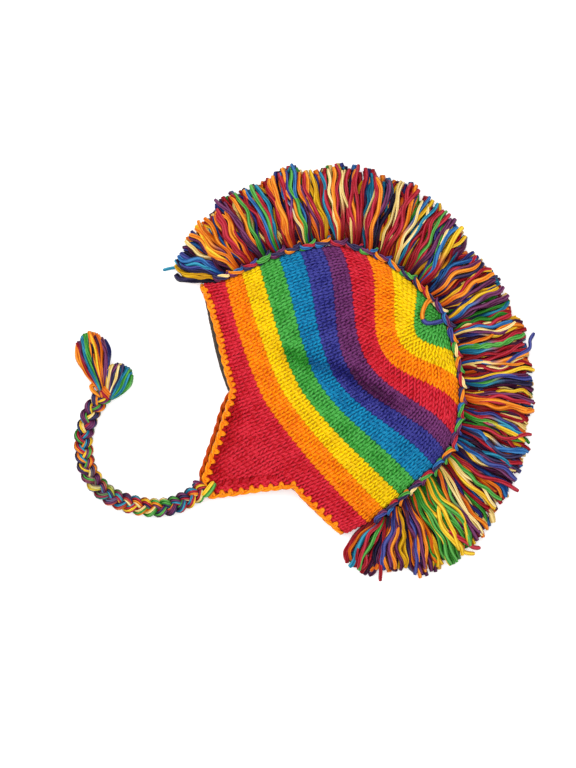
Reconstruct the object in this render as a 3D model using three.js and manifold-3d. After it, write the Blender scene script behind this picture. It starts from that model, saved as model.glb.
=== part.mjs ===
// A knitted earflap hat with a yarn mohawk, lying flattened on its right side.
// Millimetres. +X runs from the forehead to the nape, +Y from the rim to the top of the crown,
// and +Z up from the surface that the hat lies on.
import * as THREE from "three";
import { mergeVertices } from "three/addons/utils/BufferGeometryUtils.js";
import Module from "manifold-3d";

const manifold = await Module();
manifold.setup();

// Driving dimensions
const KNIT_WALL = 5; // one layer of chunky stocking stitch
const FLEECE_WALL = 2;
const PIECE_GAP = 0.5;
const LINING_GAP = 0.9; // the fleece hangs loosely inside the knitting
const FOLD_HEIGHT = 13; // the front and back folds of the flattened crown, above the surface
const FLAT_SHARE = 0.85; // part of the under layer's half width that lies flat
const CURVE_POWER = 1.5; // how a knitted row bends up from its lowest point
const CROWN_LEVELS = 18;
const CROWN_AROUND = 36;

// One round of stitches at a change of stripe: where it meets the front and back folds, its lowest
// point between them, how much it flattens out at each fold, and how high the upper layer bulges.
const stripeRow = (front, low, back, ease, height) => ({
  frontX: front.x,
  frontY: front.y,
  lowX: low.x,
  lowY: low.y,
  backX: back.x,
  backY: back.y,
  frontEase: ease.front,
  backEase: ease.back,
  height,
});
// From the rim up
const CROWN_ROWS = [
  stripeRow({ x: -127, y: 0 }, { x: 5, y: -29.5 }, { x: 132, y: -2 }, { front: 0.6, back: 0 }, 34),
  stripeRow({ x: -121, y: 17 }, { x: -8, y: -7 }, { x: 133, y: 18 }, { front: 0, back: 0 }, 39),
  stripeRow({ x: -119, y: 33 }, { x: -6, y: 11 }, { x: 130, y: 37 }, { front: 0.1, back: 0.1 }, 43),
  stripeRow({ x: -117, y: 50 }, { x: -3, y: 26 }, { x: 127, y: 56 }, { front: 0.2, back: 0.2 }, 46),
  stripeRow({ x: -115, y: 69 }, { x: 0, y: 43 }, { x: 123, y: 74 }, { front: 0.5, back: 0.5 }, 48),
  stripeRow({ x: -110, y: 88 }, { x: 2, y: 58 }, { x: 119, y: 95 }, { front: 0.7, back: 0.7 }, 48),
  stripeRow({ x: -103, y: 106 }, { x: 6, y: 72 }, { x: 113, y: 110 }, { front: 1, back: 1 }, 47),
  stripeRow({ x: -96, y: 121 }, { x: 7, y: 90 }, { x: 105, y: 124 }, { front: 1, back: 1 }, 44),
  stripeRow({ x: -77, y: 138 }, { x: 8, y: 106 }, { x: 84, y: 141 }, { front: 1, back: 1 }, 40),
  stripeRow({ x: -57, y: 152 }, { x: 8, y: 124 }, { x: 63, y: 154 }, { front: 0.6, back: 0.6 }, 36),
  stripeRow({ x: -28, y: 163 }, { x: 9, y: 140 }, { x: 38, y: 162 }, { front: 0.3, back: 0.3 }, 31),
  stripeRow({ x: -10, y: 167 }, { x: 8, y: 155 }, { x: 22, y: 167 }, { front: 0.2, back: 0.2 }, 25),
];
const CROWN_TOP = new THREE.Vector3(6, 169.5, FOLD_HEIGHT);

// The knitted part of an ear flap, row by row from the rim to the tip: its front and back edges.
// Its first row is the stretch of rim that it hangs from.
const FLAP_RIM = { frontX: -26, backX: 67 };
const FLAP_ROWS = [
  { down: 0.25, frontX: -13.5, frontY: -41.7, backX: 60, backY: -37 },
  { down: 0.5, frontX: -0.8, frontY: -55, backX: 53, backY: -53 },
  { down: 0.75, frontX: 13, frontY: -71, backX: 46, backY: -71 },
  { down: 1, frontX: 26, frontY: -85.5, backX: 38, backY: -89 },
];
const FLAP_ACROSS = 9;
const FLAP_TIP_HEIGHT = 14; // top of the left flap's tip, which lies over the right flap
const RIGHT_FLAP_SHIFT = { x: -4, y: -1 }; // the under flap shows a little at the front

// Orange crocheted border
const EDGING_DIAMETER = 5;
const EDGING_SIDES = 7;
const EDGING_STEP = 7.5;
const EDGING_GAP = 1.2;
const EDGING_LIFT = 0.4; // clear of the surface that the hat lies on
const EDGING_RIM_POINTS = 8;
const EDGING_CORNER = 0.012; // share of a turn where it rounds the corner of rim and flap
const EDGING_FOLD = 0.01; // share of a turn where it rounds a fold

// Fleece band inside the rim, as levels of CROWN_ROWS, and its bulge out of the front rim
const LINING_LEVELS = [0.08, 0.7, 1.5, 2.3];
const LINING_AROUND = 44;
const LINING_PEEK = { fromX: -112, toX: -28, reach: 10.5, fullness: 0.7, hem: 0.5 };

// Mohawk: a knotted strip along the folds, and locks that fan out from it
const STRIP = { width: 7, height: 15, gap: 1, sides: 6, steps: 40, frontLevel: 0.65, backLevel: 1.4 };
const LOCK_COUNT = 33;
const LOCK_SIDES = 6;
const LOCK_MARGIN = 0.012; // share of the strip left bare at each end
const LOCK_RAGGED = 3; // how far the locks' lengths differ
const LOCK_RAGGED_TURN = 2.4; // radians from one lock to the next, so that the lengths look uneven
// Where the locks' tips reach, for shares of the way from the forehead to the nape
const FRINGE_TIPS = [
  { along: 0, x: -160, y: -9 },
  { along: 0.06, x: -182, y: 36 },
  { along: 0.12, x: -183, y: 76 },
  { along: 0.2, x: -176, y: 121 },
  { along: 0.29, x: -144, y: 175 },
  { along: 0.39, x: -88, y: 213 },
  { along: 0.51, x: 4, y: 229 },
  { along: 0.63, x: 80, y: 218 },
  { along: 0.74, x: 145, y: 176 },
  { along: 0.84, x: 192, y: 106 },
  { along: 0.94, x: 200, y: 44 },
  { along: 1, x: 163, y: -11 },
];
// Sections of a lock from its knot to its cut end
const LOCK_SECTIONS = [
  { along: 0, halfWidth: 5.5, halfThick: 6.5, lift: 13 },
  { along: 0.18, halfWidth: 6.5, halfThick: 8, lift: 12.5 },
  { along: 0.55, halfWidth: 10, halfThick: 10, lift: 10.7 },
  { along: 0.88, halfWidth: 12, halfThick: 9, lift: 9.5 },
  { along: 1, halfWidth: 9.5, halfThick: 6, lift: 8.5 },
];

// Plaited ties: their common route on the surface, the left tie lying on the right one
const TIE_WIDTH = 18;
const TIE_THICK = 8;
const TIE_SIDES = 10;
const TIE_STEPS = 22;
const RIGHT_TIE_LIFT = 4.2;
const LEFT_TIE_LIFT = 12.9;
const TIE_ROUTE = [
  { x: 33, y: -98 },
  { x: 33.2, y: -105 },
  { x: 33, y: -114 },
  { x: 31.8, y: -124 },
  { x: 28.2, y: -134.5 },
  { x: 22.5, y: -144.3 },
  { x: 15.5, y: -153 },
  { x: 8, y: -160.7 },
  { x: -1.5, y: -168 },
  { x: -12, y: -173 },
  { x: -25, y: -175.3 },
  { x: -38.5, y: -174.5 },
  { x: -51, y: -169.5 },
  { x: -62, y: -163.7 },
  { x: -70, y: -155.5 },
  { x: -77.5, y: -147 },
  { x: -82, y: -137.8 },
  { x: -85.5, y: -128.5 },
];

// Tassels: a wrapped head at the plait's end and two bunches of loose ends
const TASSEL_HEAD = { halfWidth: 8, halfThick: 4, length: 9, sides: 8 };
const TASSEL_ENDS = [
  { x: -131, y: -127 },
  { x: -137, y: -118 },
  { x: -134, y: -109 },
  { x: -119, y: -105 },
  { x: -96, y: -99.5 },
  { x: -84.5, y: -101 },
];
const TASSEL_SECTIONS = [
  { along: 0, halfWidth: 4, halfThick: 3.6 },
  { along: 0.45, halfWidth: 6.5, halfThick: 4.1 },
  { along: 0.85, halfWidth: 7.5, halfThick: 4 },
  { along: 1, halfWidth: 6, halfThick: 2.8 },
];

// Yarn colours
const RED = 0xca2430;
const ORANGE = 0xf77f09;
const TAUPE = 0x463e37;
const MIXED_YARN = 0x6a2f4f;

const UP = new THREE.Vector3(0, 0, 1);
const mix = THREE.MathUtils.lerp;
const easeBoth = (share) => (1 - Math.cos(Math.PI * share)) / 2;
const flatPoint = (point, height) => new THREE.Vector3(point.x, point.y, height);

// Triangles between rings of points. Each ring has as many points, in the same order. The ends
// close on a point, or straight across a flat ring whose second half runs back beside its first.
function loft(rings, { start, end, closed = false } = {}) {
  const points = rings.flat();
  const count = rings[0].length;
  const faces = [];
  const joins = closed ? rings.length : rings.length - 1;
  for (let ring = 0; ring < joins; ring++) {
    const here = ring * count;
    const next = ((ring + 1) % rings.length) * count;
    for (let i = 0; i < count; i++) {
      const j = (i + 1) % count;
      faces.push([here + i, here + j, next + j], [here + i, next + j, next + i]);
    }
  }
  const close = (first, cap, turned) => {
    const add = (a, b, c) => faces.push(turned ? [a, c, b] : [a, b, c]);
    if (cap === "across") {
      for (let i = 0; i < count / 2 - 1; i++) {
        const a = first + i;
        const b = first + count - 1 - i;
        add(a, b, a + 1);
        add(a + 1, b, b - 1);
      }
    } else if (cap) {
      const tip = points.push(cap) - 1;
      for (let i = 0; i < count; i++) add(first + i, tip, first + ((i + 1) % count));
    }
  };
  close(0, start, false);
  close((rings.length - 1) * count, end, true);

  const inward = faces.reduce((sum, [a, b, c]) => {
    return sum + points[a].dot(new THREE.Vector3().crossVectors(points[b], points[c]));
  }, 0);
  const index = faces.flatMap(([a, b, c]) => (inward < 0 ? [a, c, b] : [a, b, c]));
  const geometry = new THREE.BufferGeometry().setFromPoints(points).setIndex(index);
  geometry.computeVertexNormals();
  return geometry;
}

// One body made of overlapping closed shapes
function fuse(geometries) {
  const solids = geometries.map((geometry) => {
    const bare = geometry.clone().deleteAttribute("normal").deleteAttribute("uv");
    const merged = mergeVertices(bare, 1e-3);
    return new manifold.Manifold(
      new manifold.Mesh({
        numProp: 3,
        vertProperties: merged.attributes.position.array,
        triVerts: new Uint32Array(merged.index.array),
      }),
    );
  });
  const mesh = solids.reduce((whole, solid) => whole.add(solid)).getMesh();
  const fused = new THREE.BufferGeometry();
  fused.setAttribute("position", new THREE.BufferAttribute(mesh.vertProperties, 3));
  fused.setIndex(new THREE.BufferAttribute(mesh.triVerts, 1));
  fused.computeVertexNormals();
  return fused;
}

// A smooth run through one column of a table
const columnOf = (rows, name) =>
  new THREE.SplineCurve(rows.map((row, i) => new THREE.Vector2(i, row[name])));

// Ring of points across a path: halfWidth lies along side, halfThick along UP
function sectionRing(centre, side, halfWidth, halfThick, sides) {
  return Array.from({ length: sides }, (_, i) => {
    const angle = (2 * Math.PI * (i + 0.5)) / sides;
    return centre
      .clone()
      .addScaledVector(side, halfWidth * Math.cos(angle))
      .addScaledVector(UP, halfThick * Math.sin(angle));
  });
}

const LAST_ROW = CROWN_ROWS.length - 1;
const crownColumns = Object.keys(CROWN_ROWS[0]).map((name) => [name, columnOf(CROWN_ROWS, name)]);
const crownRow = (level) => {
  const share = THREE.MathUtils.clamp(level / LAST_ROW, 0, 1);
  return Object.fromEntries(crownColumns.map(([name, curve]) => [name, curve.getPoint(share).y]));
};

// Height of a round of stitches on its way from the lowest point to a fold
function rowY(row, x) {
  const front = x < row.lowX;
  const foldX = front ? row.frontX : row.backX;
  const foldY = front ? row.frontY : row.backY;
  const ease = front ? row.frontEase : row.backEase;
  const reach = Math.min(1, (x - row.lowX) / (foldX - row.lowX));
  return mix(row.lowY, foldY, mix(reach ** CURVE_POWER, easeBoth(reach), ease));
}

// Outside of the crown. level counts CROWN_ROWS from the rim, and turn runs from the front fold
// over the upper layer to the back fold at 0.5, and back along the under layer.
function crownPoint(level, turn) {
  const row = crownRow(level);
  const across = -Math.cos(2 * Math.PI * turn);
  const bulge = Math.sin(2 * Math.PI * turn);
  const x = mix(row.frontX, row.backX, (1 + across) / 2);
  const corner = Math.max(0, (Math.abs(across) - FLAT_SHARE) / (1 - FLAT_SHARE));
  const upper = FOLD_HEIGHT + (row.height - FOLD_HEIGHT) * bulge;
  const under = FOLD_HEIGHT * (1 - Math.sqrt(Math.max(0, 1 - corner ** 2)));
  return new THREE.Vector3(x, rowY(row, x), bulge >= 0 ? upper : under);
}

// The surface's directions at a point of the crown: towards the top, and out of the cloth
function crownDirections(level, turn) {
  const step = 1e-3;
  const below = crownPoint(Math.max(0, level - step), turn);
  const above = crownPoint(Math.min(LAST_ROW, level + step), turn);
  const upward = above.sub(below).normalize();
  const onward = crownPoint(level, turn + step).sub(crownPoint(level, turn - step)).normalize();
  const outward = new THREE.Vector3().crossVectors(onward, upward).normalize();
  return { upward, outward };
}

// A point of the crown, sunk into or through the cloth
const crownInside = (level, turn, depth) =>
  crownPoint(level, turn).addScaledVector(crownDirections(level, turn).outward, -depth);

const turnsAround = (count) => Array.from({ length: count }, (_, i) => i / count);

// The share of a turn at which the rim reaches x, on the upper layer
function rimTurn(x) {
  const rim = CROWN_ROWS[0];
  const across = (2 * (x - rim.frontX)) / (rim.backX - rim.frontX) - 1;
  return Math.acos(-across) / (2 * Math.PI);
}

function crownGeometry() {
  const levels = Array.from({ length: CROWN_LEVELS }, (_, i) => (LAST_ROW * i) / (CROWN_LEVELS - 1));
  const ringAt = (level, depth) =>
    turnsAround(CROWN_AROUND).map((turn) => crownInside(level, turn, depth));
  const outside = levels.map((level) => ringAt(level, 0)).reverse();
  const inside = levels.slice(0, -1).map((level) => ringAt(level, KNIT_WALL));
  const insideTop = CROWN_TOP.clone().setY(CROWN_TOP.y - 2 * KNIT_WALL);
  return loft([...outside, ...inside], { start: CROWN_TOP, end: insideTop });
}

function liningGeometry() {
  const { fromX, toX, reach, fullness, hem } = LINING_PEEK;
  const peekAt = (point, turn) => {
    const share = THREE.MathUtils.clamp((point.x - fromX) / (toX - fromX), 0, 1);
    return turn > 0.5 ? reach * Math.sin(Math.PI * share) ** fullness : 0;
  };
  const edgeRing = (depth) =>
    turnsAround(LINING_AROUND).map((turn) => {
      const point = crownInside(LINING_LEVELS[0], turn, depth);
      const { upward } = crownDirections(LINING_LEVELS[0], turn);
      return point.addScaledVector(upward, -peekAt(point, turn) - hem);
    });
  const ringAt = (level, depth) =>
    turnsAround(LINING_AROUND).map((turn) => crownInside(level, turn, depth));
  const near = KNIT_WALL + LINING_GAP;
  const far = near + FLEECE_WALL;
  const outer = LINING_LEVELS.map((level) => ringAt(level, near));
  const inner = LINING_LEVELS.map((level) => ringAt(level, far)).reverse();
  return loft([edgeRing(near), ...outer, ...inner, edgeRing(far)], { closed: true });
}

// Rows of an ear flap's outer and inner faces, from the rim to the tip
function flapRows(isLeft) {
  const shift = isLeft ? { x: 0, y: 0 } : RIGHT_FLAP_SHIFT;
  const shares = Array.from({ length: FLAP_ACROSS }, (_, i) => i / (FLAP_ACROSS - 1));
  const from = rimTurn(FLAP_RIM.frontX);
  const to = rimTurn(FLAP_RIM.backX);
  const rim = shares.map((share) => {
    const turn = mix(from, to, share);
    const rimAt = isLeft ? turn : 1 - turn;
    const { upward, outward } = crownDirections(0, rimAt);
    const outer = crownPoint(0, rimAt).addScaledVector(upward, -PIECE_GAP);
    return { outer, inner: outer.clone().addScaledVector(outward, -KNIT_WALL) };
  });
  const rows = FLAP_ROWS.map(({ down, frontX, frontY, backX, backY }) =>
    shares.map((share, i) => {
      const rimHeight = rim[i].outer.z;
      const height = isLeft ? mix(rimHeight, FLAP_TIP_HEIGHT, easeBoth(down)) : 0;
      const x = mix(frontX, backX, share) + shift.x;
      const y = mix(frontY, backY, share) + shift.y;
      const outer = new THREE.Vector3(x, y, height);
      const inner = outer.clone().addScaledVector(UP, isLeft ? -KNIT_WALL : KNIT_WALL);
      return { outer, inner };
    }),
  );
  return [rim, ...rows];
}

function flapGeometry(rows) {
  const rings = rows.map((row) => [
    ...row.map((point) => point.outer),
    ...row.map((point) => point.inner).reverse(),
  ]);
  return loft(rings, { start: "across", end: "across" });
}

// The middle of the border's yarn: along one layer's front rim, round its flap and on to the back
function edgingRun(isLeft, rows) {
  const radius = EDGING_DIAMETER / 2;
  const clear = radius + EDGING_GAP;
  const middle = ({ outer, inner }) => outer.clone().add(inner).multiplyScalar(0.5);
  const rimPoint = (turn) => {
    const at = isLeft ? turn : 1 - turn;
    const { upward } = crownDirections(0, at);
    const edge = crownPoint(0, at).add(crownInside(0, at, KNIT_WALL)).multiplyScalar(0.5);
    edge.addScaledVector(upward, -clear);
    return edge.setZ(Math.max(edge.z, radius + EDGING_LIFT));
  };
  const rimStretch = (from, to) =>
    Array.from({ length: EDGING_RIM_POINTS }, (_, i) =>
      rimPoint(mix(from, to, i / (EDGING_RIM_POINTS - 1))),
    );
  const besideFlap = (row, end, next) => {
    const edge = middle(rows[row][end]);
    const out = edge.clone().sub(middle(rows[row][next])).setZ(0).normalize();
    const along = middle(rows[Math.min(row + 1, rows.length - 1)][end])
      .sub(middle(rows[row - 1][end]))
      .setZ(0)
      .normalize();
    out.addScaledVector(along, -out.dot(along)).normalize();
    edge.addScaledVector(out, clear);
    return edge.setZ(Math.max(edge.z, radius + EDGING_LIFT));
  };
  const tip = rows.at(-1);
  const belowTip = (share) => {
    const point = middle(tip[Math.round(share * (FLAP_ACROSS - 1))]);
    point.y -= clear;
    return point.setZ(Math.max(point.z, radius + EDGING_LIFT));
  };
  const frontRim = rimStretch(EDGING_FOLD, rimTurn(FLAP_RIM.frontX) - EDGING_CORNER);
  const backRim = rimStretch(rimTurn(FLAP_RIM.backX) + EDGING_CORNER, 0.5 - EDGING_FOLD);
  const last = FLAP_ACROSS - 1;
  const hanging = FLAP_ROWS.map((_, i) => i + 1);
  const flapDown = hanging.map((row) => besideFlap(row, 0, 1));
  const flapUp = hanging.map((row) => besideFlap(row, last, last - 1)).reverse();
  return [...frontRim, ...flapDown, belowTip(0), belowTip(1), ...flapUp, ...backRim];
}

function edgingGeometry(leftRows, rightRows) {
  const run = [...edgingRun(true, leftRows), ...edgingRun(false, rightRows).reverse()];
  const path = new THREE.CatmullRomCurve3(run, true, "centripetal");
  const steps = Math.round(path.getLength() / EDGING_STEP);
  const frames = path.computeFrenetFrames(steps, true);
  const rings = path
    .getSpacedPoints(steps)
    .slice(0, -1)
    .map((centre, i) =>
      Array.from({ length: EDGING_SIDES }, (_, k) => {
        const angle = (2 * Math.PI * k) / EDGING_SIDES;
        return centre
          .clone()
          .addScaledVector(frames.normals[i], (EDGING_DIAMETER / 2) * Math.cos(angle))
          .addScaledVector(frames.binormals[i], (EDGING_DIAMETER / 2) * Math.sin(angle));
      }),
    );
  return loft(rings, { closed: true });
}

// The fold line from the forehead over the top to the nape
function foldCurve() {
  const points = [];
  for (let level = STRIP.frontLevel; level < LAST_ROW; level += 1) points.push(crownPoint(level, 0));
  points.push(CROWN_TOP.clone());
  for (let level = LAST_ROW - 0.5; level > STRIP.backLevel; level -= 1) {
    points.push(crownPoint(level, 0.5));
  }
  points.push(crownPoint(STRIP.backLevel, 0.5));
  return new THREE.CatmullRomCurve3(points, false, "centripetal");
}

// A lock of yarn from root to tip, through sections that give its width, thickness and lift
function lockGeometry(root, tip, sections, sides) {
  const side = new THREE.Vector3().subVectors(tip, root).cross(UP).normalize();
  const centres = sections.map(({ along, lift }) =>
    flatPoint(new THREE.Vector3().lerpVectors(root, tip, along), lift),
  );
  const rings = sections.map(({ halfWidth, halfThick }, i) =>
    sectionRing(centres[i], side, halfWidth, halfThick, sides),
  );
  return loft(rings, { start: centres[0], end: centres.at(-1) });
}

function mohawkGeometry() {
  const fold = foldCurve();
  const standOff = STRIP.width / 2 + STRIP.gap;
  const spineAt = (share) => {
    const tangent = fold.getTangentAt(share).setZ(0).normalize();
    const side = new THREE.Vector3().crossVectors(UP, tangent);
    return { centre: fold.getPointAt(share).addScaledVector(side, standOff), side };
  };
  const spine = Array.from({ length: STRIP.steps + 1 }, (_, i) => spineAt(i / STRIP.steps));
  const rings = spine.map(({ centre, side }) =>
    sectionRing(centre, side, STRIP.width / 2, STRIP.height / 2, STRIP.sides),
  );
  const strip = loft(rings, { start: spine[0].centre, end: spine.at(-1).centre });

  const tipX = columnOf(FRINGE_TIPS, "x");
  const tipY = columnOf(FRINGE_TIPS, "y");
  const tableShare = (along) => {
    const next = Math.max(1, FRINGE_TIPS.findIndex((row) => row.along >= along));
    const from = FRINGE_TIPS[next - 1].along;
    const to = FRINGE_TIPS[next].along;
    return (next - 1 + (along - from) / (to - from)) / (FRINGE_TIPS.length - 1);
  };
  const locks = Array.from({ length: LOCK_COUNT }, (_, i) => {
    const along = i / (LOCK_COUNT - 1);
    const root = spineAt(mix(LOCK_MARGIN, 1 - LOCK_MARGIN, along)).centre;
    const at = tableShare(along);
    const reach = new THREE.Vector3(tipX.getPoint(at).y, tipY.getPoint(at).y, root.z).sub(root);
    reach.setLength(reach.length() + LOCK_RAGGED * Math.sin(i * LOCK_RAGGED_TURN));
    return lockGeometry(root, root.clone().add(reach), LOCK_SECTIONS, LOCK_SIDES);
  });
  return fuse([strip, ...locks]);
}

function tieGeometry(lift) {
  const outline = new THREE.Shape().absellipse(0, 0, TIE_THICK / 2, TIE_WIDTH / 2, 0, 2 * Math.PI);
  const section = new THREE.Shape(outline.getSpacedPoints(TIE_SIDES).slice(0, -1));
  const route = TIE_ROUTE.map((point) => flatPoint(point, lift));
  return new THREE.ExtrudeGeometry(section, {
    steps: TIE_STEPS,
    extrudePath: new THREE.CatmullRomCurve3(route, false, "centripetal"),
  });
}

function tasselGeometry(lift) {
  const [before, end] = TIE_ROUTE.slice(-2).map((point) => flatPoint(point, lift));
  const along = end.clone().sub(before).normalize();
  const side = new THREE.Vector3().crossVectors(along, UP);
  const near = end.clone().addScaledVector(along, PIECE_GAP);
  const far = end.clone().addScaledVector(along, TASSEL_HEAD.length);
  const rings = [near, far].map((centre) =>
    sectionRing(centre, side, TASSEL_HEAD.halfWidth, TASSEL_HEAD.halfThick, TASSEL_HEAD.sides),
  );
  const head = loft(rings, { start: near, end: far });
  const root = end.clone().addScaledVector(along, TASSEL_HEAD.length / 2);
  const sections = TASSEL_SECTIONS.map((section) => ({ ...section, lift }));
  const bunches = TASSEL_ENDS.map((tip) =>
    lockGeometry(root, flatPoint(tip, lift), sections, LOCK_SIDES),
  );
  return fuse([head, ...bunches]);
}

const hat = new THREE.Group();

function addPiece(name, geometry, color) {
  const material = new THREE.MeshStandardMaterial({ color, roughness: 0.95, metalness: 0 });
  const mesh = new THREE.Mesh(geometry, material);
  mesh.name = name;
  hat.add(mesh);
}

const leftFlap = flapRows(true);
const rightFlap = flapRows(false);
addPiece("crown", crownGeometry(), ORANGE);
addPiece("lining", liningGeometry(), TAUPE);
addPiece("ear_flap_left", flapGeometry(leftFlap), RED);
addPiece("ear_flap_right", flapGeometry(rightFlap), RED);
addPiece("edging", edgingGeometry(leftFlap, rightFlap), ORANGE);
addPiece("mohawk_fringe", mohawkGeometry(), MIXED_YARN);
for (const [side, lift] of [["left", LEFT_TIE_LIFT], ["right", RIGHT_TIE_LIFT]]) {
  addPiece(`tie_${side}`, tieGeometry(lift), MIXED_YARN);
  addPiece(`tassel_${side}`, tasselGeometry(lift), MIXED_YARN);
}

export default hat;
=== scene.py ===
"""A knitted earflap hat with a yarn mohawk, lying on its right side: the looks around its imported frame.

The shape is worked out in millimetres. +X runs from the forehead to the nape, +Y from the rim to the
top of the crown, and +Z up from the surface that the hat lies on.
"""

import math

import bpy
import numpy as np
from mathutils import Matrix, Vector


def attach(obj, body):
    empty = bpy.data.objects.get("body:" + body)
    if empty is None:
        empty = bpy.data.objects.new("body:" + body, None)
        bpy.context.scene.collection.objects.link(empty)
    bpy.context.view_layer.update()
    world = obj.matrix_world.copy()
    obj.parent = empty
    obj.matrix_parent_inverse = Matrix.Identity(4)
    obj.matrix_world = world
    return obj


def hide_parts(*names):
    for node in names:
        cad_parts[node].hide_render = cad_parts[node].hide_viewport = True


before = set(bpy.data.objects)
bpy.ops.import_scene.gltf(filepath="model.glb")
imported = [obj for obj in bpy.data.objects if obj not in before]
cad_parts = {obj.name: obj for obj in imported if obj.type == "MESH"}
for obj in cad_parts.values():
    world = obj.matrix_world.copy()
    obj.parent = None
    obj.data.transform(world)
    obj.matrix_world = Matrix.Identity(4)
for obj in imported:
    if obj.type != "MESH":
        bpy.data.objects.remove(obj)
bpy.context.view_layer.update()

MM = 0.001
BODY = "root"
UP = np.array([0.0, 0.0, 1.0])
TURN = 2 * math.pi
scene = bpy.context.scene
rng = np.random.default_rng(7)

# Crown, as in the frame: one row for each change of stripe, rim first. Front fold x and y, lowest point
# x and y, back fold x and y, how much the row flattens out at the front and back folds, and the height
# of the upper layer.
CROWN_ROWS = np.array([
    (-127, 0, 5, -29.5, 132, -2, 0.6, 0.0, 34),
    (-121, 17, -8, -7, 133, 18, 0.0, 0.0, 39),
    (-119, 33, -6, 11, 130, 37, 0.1, 0.1, 43),
    (-117, 50, -3, 26, 127, 56, 0.2, 0.2, 46),
    (-115, 69, 0, 43, 123, 74, 0.5, 0.5, 48),
    (-110, 88, 2, 58, 119, 95, 0.7, 0.7, 48),
    (-103, 106, 6, 72, 113, 110, 1.0, 1.0, 47),
    (-96, 121, 7, 90, 105, 124, 1.0, 1.0, 44),
    (-77, 138, 8, 106, 84, 141, 1.0, 1.0, 40),
    (-57, 152, 8, 124, 63, 154, 0.6, 0.6, 36),
    (-28, 163, 9, 140, 38, 162, 0.3, 0.3, 31),
    (-10, 167, 8, 155, 22, 167, 0.2, 0.2, 25),
])
CROWN_TOP = np.array([6, 169.5, 13])
LAST_ROW = len(CROWN_ROWS) - 1
TOP_LEVEL = LAST_ROW + 1
FOLD_HEIGHT = 13
FLAT_SHARE = 0.85  # of the under layer lies flat
CURVE_POWER = 1.5  # of a row's rise to its folds
CREASE = np.array([(-34, 30), (-15, 46), (12, 72), (47, 86)])  # a soft dent across the upper layer
CREASE_DEPTH = 3.4
CREASE_WIDTH = 8
# painted shade along the crease, on the upper layer's stitches
CREASE_SHADE = 0.3
SAG = 0.6
STIFF_HEIGHT = 20  # below this the folds hold the upper layer up
FREE_HEIGHT = 32  # above this it sags fully
GRID_LEVELS = np.linspace(-0.5, TOP_LEVEL, 251)
LAYER_STEPS = 200

# Ear flaps: front and back edges from the rim to the tip, and how far the slope from the rim has come
FLAP_FRONT = np.array([(-26, -26.5), (-13.5, -41.7), (-0.8, -55), (13, -71), (26, -85.5)])
FLAP_BACK = np.array([(67, -20), (60, -37), (53, -53), (46, -71), (38, -89)])
FLAP_DOWN = np.array([(0, 0), (0.2, 0.25), (0.45, 0.5), (0.74, 0.75), (1, 1)])
FLAP_TIP_Y = -87.5
FLAP_TIP_HEIGHT = 14
FLAP_FOLD_INSET = 7
FLAP_FOLD_WIDTH = 2
FLAP_FOLD_DEPTH = 1.8
# painted shade on the flap's stitches: along the fold at its back edge, and towards its front edge
FLAP_FOLD_SHADE = 0.35
FLAP_EDGE_SHADE = 0.38  # at the front edge
FLAP_EDGE_WIDTH = 20
FLAP_ROW = 4.4
FLAP_ROW_COUNT = 14
FLAP_MARGIN = 3  # stitches are kept as far past the edges as this
FLAP_TRIM = (0.8, 1.2)  # and pushed back to here, at the front and back edges
RIGHT_FLAP_SHIFT = np.array([-4, -1, 0])

# Stripes from the rim up: colour, first and last level, rounds of stitches
STRIPES = [
    ("red", -0.1, 1, 5),
    ("orange", 1, 2, 4),
    ("yellow", 2, 3, 4),
    ("green", 3, 4, 4),
    ("blue", 4, 5, 4),
    ("indigo", 5, 6, 4),
    ("purple", 6, 7, 4),
    ("red", 7, 8, 5),
    ("orange", 8, 9, 5),
    ("yellow", 9, 10, 5),
    ("green", 10, 12, 8),
]
WOOL = {
    "red": "#c81a2b",
    "orange": "#f57d00",
    "yellow": "#efc300",
    "green": "#3d9c3a",
    "blue": "#0874a4",
    "indigo": "#2f3081",
    "purple": "#5f255a",
    "border": "#fc8a0a",
}
# Yarns of the fringe, ties and tassels, and how often each turns up in a dealt deck
DECK_SIZE = 200
MIXED = {
    "red": ("#ad2232", 0.245),
    "plum": ("#652b54", 0.15),
    # ink: a dark navy yarn, dealt in also as painted shade between the strands
    "ink": ("#322b4f", 0.04),
    "navy": ("#393e84", 0.055),
    "cobalt": ("#2c67a4", 0.08),
    "teal": ("#2a87a6", 0.05),
    "green": ("#4c9c3f", 0.065),
    "orange": ("#ec8620", 0.115),
    "yellow": ("#efbf2a", 0.08),
    "cream": ("#f7da90", 0.12),
}

# Spun wool. A ply pitch is the length of yarn from one ply to the next. Grooves and crevices are the
# painted shades between and on the plies, and between and on the yarns.
KNIT_PLIES = 2
KNIT_PLY_PITCH = 9
KNIT_GROOVES = (0.8, 1.0)
KNIT_CREVICES = (0.72, 1.02)
LOOSE_PLIES = 3
LOOSE_PLY_PITCH = 34
LOOSE_GROOVES = (0.66, 1.05)
LOOSE_CREVICES = (0.55, 1.06)
CREVICE = 2.6  # how far apart yarns are that shade each other
FIBRE = 0.9  # real fibres are too fine to show in the render, so these are drawn coarser
DYE_PATCH = 12
MOTTLE = (0.88, 1.1)
YARN_SIDES = 6

# Stitches
RIM_STITCHES = 84
EVEN_STRIPES = 7  # stripes that keep the rim's number of stitches
TOP_WALE = 6.6  # width of a stitch above them
STITCH_POINTS = 12
YARN_RADIUS = 1.55
LOOP_SWAY = 0.19  # how far a leg leans, as a share of a stitch
LOOP_REACH = 0.66  # how far a loop reaches up and down, as a share of a round
LOOP_DEPTH = 1.2
STITCH_SINK = 2.9
STITCH_SLACK = (0.025, 0.05, 0.1)  # how uneven stitches are along the row, in reach and in height
# painted shade of the stitches: loops darker at the back, where they dive under their neighbours
STITCH_SHADES = (0.8, 1.06)  # at the back and at the front of a loop
BACKING_OUT = 2.25
BACKING_IN = 4.9
# painted shade on the backing that shows between the stitches
BACKING_SHADE = 0.86
BACKING_ROUNDS = 97
BACKING_INNER_ROUNDS = 88
BACKING_COLUMNS = 180

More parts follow.
